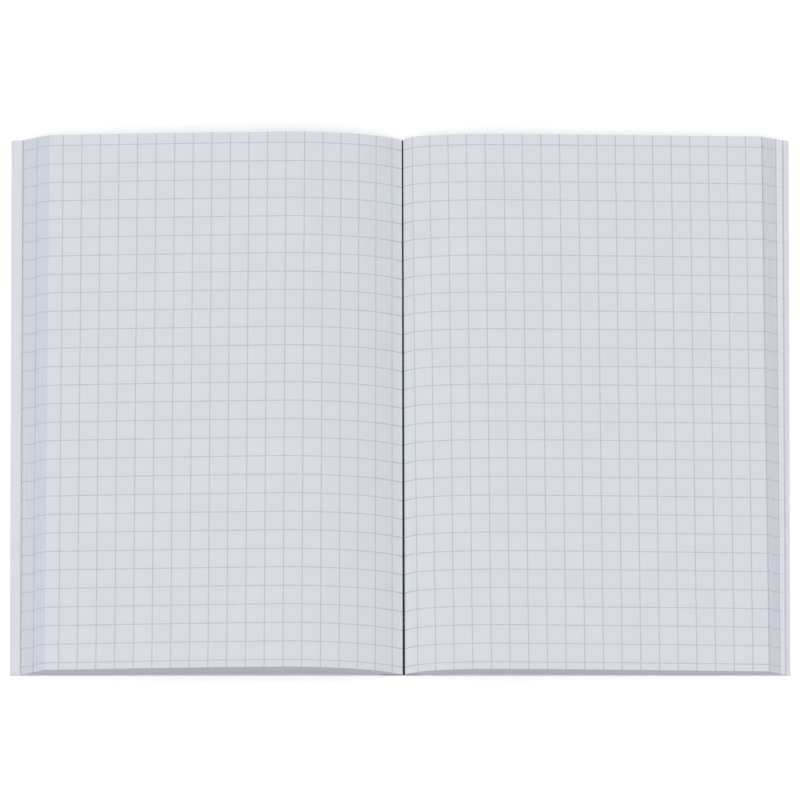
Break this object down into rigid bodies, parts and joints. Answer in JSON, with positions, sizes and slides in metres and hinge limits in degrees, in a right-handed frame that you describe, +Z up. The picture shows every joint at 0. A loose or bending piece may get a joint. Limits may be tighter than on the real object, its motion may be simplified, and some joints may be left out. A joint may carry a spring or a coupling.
{
  "type": "notebook",
  "caption": "Open pocket notebook with sewn sections of square-ruled leaves in a creased card cover that closes, and a leaf that turns.",
  "frame": {"origin": "on the surface the notebook lies on, under the middle of the open cover", "axes": "+X from the front cover's fore-edge to the back cover's, +Y towards the head of the pages, +Z up out of the pages"},
  "size_m": [0.2086, 0.148, 0.0103],
  "materials": {
    "cover_card": "matte",
    "endpaper": "matte",
    "page_paper": "matte",
    "glue": "satin",
    "spine_cloth": "matte",
    "thread": "matte"
  },
  "bodies": {
    "spine": {"spine_panel": "cover_card", "spine_glue": "glue", "spine_cloth": "spine_cloth", "sewing_thread_1": "thread", "sewing_thread_2": "thread", "sewing_thread_3": "thread", "sewing_thread_4": "thread", "sewing_thread_5": "thread", "sewing_thread_6": "thread"},
    "front_cover": {"front_cover": "cover_card", "front_pastedown": "endpaper", "front_flyleaf": "endpaper"},
    "front_bends": {"section_1_bend": "page_paper", "section_2_bend": "page_paper", "section_3_bend": "page_paper", "section_4_bend": "page_paper", "section_5_bend": "page_paper", "section_6_bend": "page_paper", "section_7_bend": "page_paper"},
    "section_1": {"section_1_leaves": "page_paper"},
    "section_2": {"section_2_leaves": "page_paper"},
    "section_3": {"section_3_leaves": "page_paper"},
    "section_4": {"section_4_leaves": "page_paper"},
    "section_5": {"section_5_leaves": "page_paper"},
    "section_6": {"section_6_leaves": "page_paper"},
    "section_7": {"section_7_leaves": "page_paper"},
    "back_cover": {"back_cover": "cover_card", "back_pastedown": "endpaper", "back_flyleaf": "endpaper"},
    "back_bends": {"section_8_bend": "page_paper", "section_9_bend": "page_paper", "section_10_bend": "page_paper", "section_11_bend": "page_paper", "section_12_bend": "page_paper"},
    "section_8": {"section_8_leaves": "page_paper"},
    "section_9": {"section_9_leaves": "page_paper"},
    "section_10": {"section_10_leaves": "page_paper"},
    "section_11": {"section_11_leaves": "page_paper"},
    "section_12": {"section_12_leaves": "page_paper"},
    "turning_leaf_root": {"turning_leaf_root": "page_paper"},
    "turning_leaf": {"turning_leaf": "page_paper"}
  },
  "joints": [
    {"name": "front_cover_crease", "type": "hinge", "parent": "spine", "child": "front_cover", "pos_m": [-0.00564, 0, 0.00045], "axis": [0, -1, 0], "range_deg": [-90, 0]},
    {"name": "front_bends_lift", "type": "hinge", "parent": "spine", "child": "front_bends", "pos_m": [-0.00564, 0, 0.00045], "axis": [0, -1, 0], "range_deg": [-82.6, 0], "deforming": ["section_1_bend", "section_2_bend", "section_3_bend", "section_4_bend", "section_5_bend", "section_6_bend", "section_7_bend"]},
    {"name": "section_1_straighten", "type": "hinge", "parent": "front_bends", "child": "section_1", "pos_m": [-0.03165, 0, 0.01731], "axis": [0, -1, 0], "range_deg": [-10.3, 0]},
    {"name": "section_2_straighten", "type": "hinge", "parent": "front_bends", "child": "section_2", "pos_m": [-0.03142, 0, 0.0231], "axis": [0, -1, 0], "range_deg": [-10.3, 0]},
    {"name": "section_3_straighten", "type": "hinge", "parent": "front_bends", "child": "section_3", "pos_m": [-0.03119, 0, 0.02889], "axis": [0, -1, 0], "range_deg": [-10.3, 0]},
    {"name": "section_4_straighten", "type": "hinge", "parent": "front_bends", "child": "section_4", "pos_m": [-0.03096, 0, 0.03467], "axis": [0, -1, 0], "range_deg": [-10.3, 0]},
    {"name": "section_5_straighten", "type": "hinge", "parent": "front_bends", "child": "section_5", "pos_m": [-0.03073, 0, 0.04046], "axis": [0, -1, 0], "range_deg": [-10.3, 0]},
    {"name": "section_6_straighten", "type": "hinge", "parent": "front_bends", "child": "section_6", "pos_m": [-0.03051, 0, 0.04624], "axis": [0, -1, 0], "range_deg": [-10.3, 0]},
    {"name": "section_7_straighten", "type": "hinge", "parent": "front_bends", "child": "section_7", "pos_m": [-0.03028, 0, 0.05202], "axis": [0, -1, 0], "range_deg": [-10.3, 0]},
    {"name": "back_cover_crease", "type": "hinge", "parent": "spine", "child": "back_cover", "pos_m": [0.00564, 0, 0.00045], "axis": [0, 1, 0], "range_deg": [-90, 0]},
    {"name": "back_bends_lift", "type": "hinge", "parent": "spine", "child": "back_bends", "pos_m": [0.00564, 0, 0.00045], "axis": [0, 1, 0], "range_deg": [-83.66, 0], "deforming": ["section_8_bend", "section_9_bend", "section_10_bend", "section_11_bend", "section_12_bend"]},
    {"name": "section_12_straighten", "type": "hinge", "parent": "back_bends", "child": "section_12", "pos_m": [0.02732, 0, 0.01157], "axis": [0, 1, 0], "range_deg": [-8.26, 0]},
    {"name": "section_11_straighten", "type": "hinge", "parent": "back_bends", "child": "section_11", "pos_m": [0.02699, 0, 0.02007], "axis": [0, 1, 0], "range_deg": [-8.26, 0]},
    {"name": "section_10_straighten", "type": "hinge", "parent": "back_bends", "child": "section_10", "pos_m": [0.02666, 0, 0.02858], "axis": [0, 1, 0], "range_deg": [-8.26, 0]},
    {"name": "section_9_straighten", "type": "hinge", "parent": "back_bends", "child": "section_9", "pos_m": [0.02633, 0, 0.03708], "axis": [0, 1, 0], "range_deg": [-8.26, 0]},
    {"name": "section_8_straighten", "type": "hinge", "parent": "back_bends", "child": "section_8", "pos_m": [0.026, 0, 0.04558], "axis": [0, 1, 0], "range_deg": [-8.26, 0]},
    {"name": "leaf_turn", "type": "hinge", "parent": "section_8", "child": "turning_leaf_root", "pos_m": [0.00084, 0, 0.00115], "axis": [0, -1, 0], "range_deg": [0, 132], "deforming": ["turning_leaf_root"]},
    {"name": "leaf_second_bend", "type": "hinge", "parent": "turning_leaf_root", "child": "turning_leaf", "pos_m": [0.02048, 0, 0.00741], "axis": [0, -1, 0], "range_deg": [0, 52.4], "deforming": ["turning_leaf"]}
  ],
  "couplings": [
    {"joint": "front_bends_lift", "follows": "front_cover_crease", "ratio": 0.91772},
    {"joint": "section_1_straighten", "follows": "front_cover_crease", "ratio": 0.11435},
    {"joint": "section_2_straighten", "follows": "front_cover_crease", "ratio": 0.11435},
    {"joint": "section_3_straighten", "follows": "front_cover_crease", "ratio": 0.11435},
    {"joint": "section_4_straighten", "follows": "front_cover_crease", "ratio": 0.11435},
    {"joint": "section_5_straighten", "follows": "front_cover_crease", "ratio": 0.11435},
    {"joint": "section_6_straighten", "follows": "front_cover_crease", "ratio": 0.11435},
    {"joint": "section_7_straighten", "follows": "front_cover_crease", "ratio": 0.11435},
    {"joint": "back_bends_lift", "follows": "back_cover_crease", "ratio": 0.92946},
    {"joint": "section_12_straighten", "follows": "back_cover_crease", "ratio": 0.091663},
    {"joint": "section_11_straighten", "follows": "back_cover_crease", "ratio": 0.091663},
    {"joint": "section_10_straighten", "follows": "back_cover_crease", "ratio": 0.091663},
    {"joint": "section_9_straighten", "follows": "back_cover_crease", "ratio": 0.091663},
    {"joint": "section_8_straighten", "follows": "back_cover_crease", "ratio": 0.091663}
  ]
}
